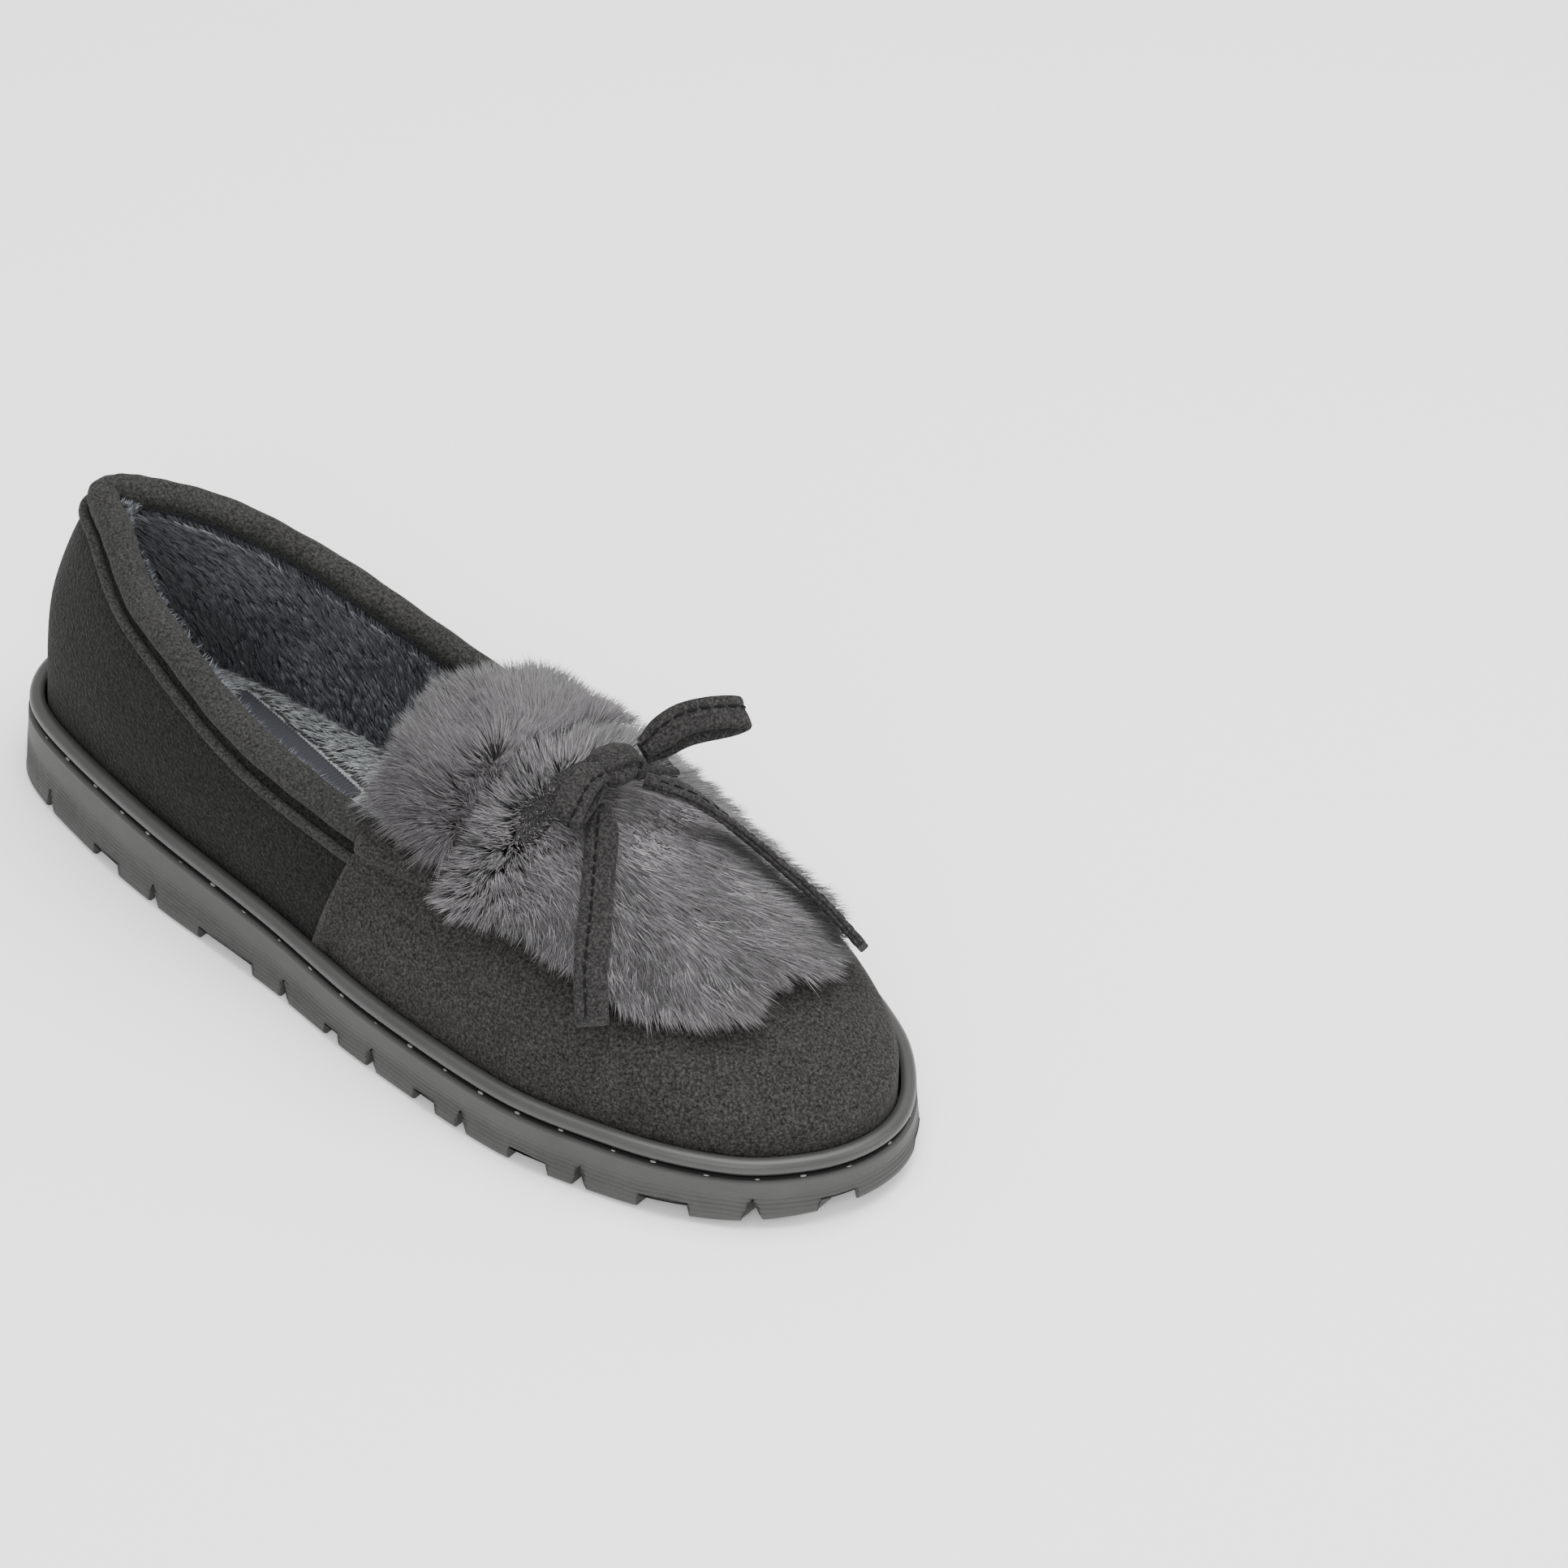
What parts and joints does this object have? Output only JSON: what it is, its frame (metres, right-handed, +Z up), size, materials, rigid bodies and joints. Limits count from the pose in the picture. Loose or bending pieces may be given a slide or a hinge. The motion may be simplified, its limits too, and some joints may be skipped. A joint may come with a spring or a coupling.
{
  "type": "house slipper",
  "caption": "Right-foot moccasin house slipper: lugged cup sole, suede upper, plush lining, padded collar, fur flap with a tied strap bow.",
  "frame": {"origin": "on the floor under the middle of the slipper's bounding box", "axes": "+X from heel to toe, +Y to the inner side of the foot, +Z up"},
  "size_m": [0.2584, 0.094, 0.0825],
  "materials": {
    "sole_rubber": "matt moulded rubber with fine ribs",
    "sole_thread": "dark stitched thread",
    "board": "fibre board",
    "foam": "soft foam",
    "sock_plush": "short plush pile",
    "ribbon": "ribbed ribbon",
    "vamp_suede": "napped microsuede",
    "quarter_suede": "napped microsuede",
    "collar_suede": "napped microsuede over foam",
    "lace_suede": "napped microsuede strap",
    "stiffener": "stiffened non-woven",
    "lining_plush": "plush pile",
    "fur": "long faux fur"
  },
  "bodies": {
    "shoe": {"outsole": "sole_rubber", "sole_stitch_thread": "sole_thread", "insole_board": "board", "insole_foam": "foam", "insole_sock": "sock_plush", "sock_label": "ribbon", "vamp": "vamp_suede", "quarter": "quarter_suede", "heel_counter": "stiffener", "toe_puff": "stiffener", "vamp_lining": "lining_plush", "quarter_lining": "lining_plush", "collar_binding": "collar_suede", "collar_foam": "foam", "collar_piping": "collar_suede", "fur_flap": "fur", "lace_bridge": "lace_suede", "bow_knot": "lace_suede"},
    "lip": {"tongue": "fur"},
    "loop_lateral": {"bow_loop_lateral": "lace_suede"},
    "loop_medial": {"bow_loop_medial": "lace_suede"},
    "tail_lateral": {"lace_tail_lateral": "lace_suede"},
    "tail_medial": {"lace_tail_medial": "lace_suede"}
  },
  "joints": [
    {"name": "lip_lift", "type": "hinge", "parent": "shoe", "child": "lip", "pos_m": [0.0185, 0.0028, 0.066], "axis": [0, 1, 0], "range_deg": [0, 30]},
    {"name": "loop_lateral_lift", "type": "hinge", "parent": "shoe", "child": "loop_lateral", "pos_m": [0.0407, 0.0024, 0.0733], "axis": [-0.9798, -0.2, 0], "range_deg": [0, 30]},
    {"name": "loop_medial_lift", "type": "hinge", "parent": "shoe", "child": "loop_medial", "pos_m": [0.04, 0.0188, 0.0723], "axis": [0.867, -0.4983, 0], "range_deg": [0, 30]},
    {"name": "tail_lateral_lift", "type": "hinge", "parent": "shoe", "child": "tail_lateral", "pos_m": [0.0453, 0.0054, 0.067], "axis": [-0.8336, -0.5524, 0], "range_deg": [0, 20]},
    {"name": "tail_medial_lift", "type": "hinge", "parent": "shoe", "child": "tail_medial", "pos_m": [0.046, 0.0123, 0.0695], "axis": [0.361, -0.9326, 0], "range_deg": [0, 35]}
  ]
}
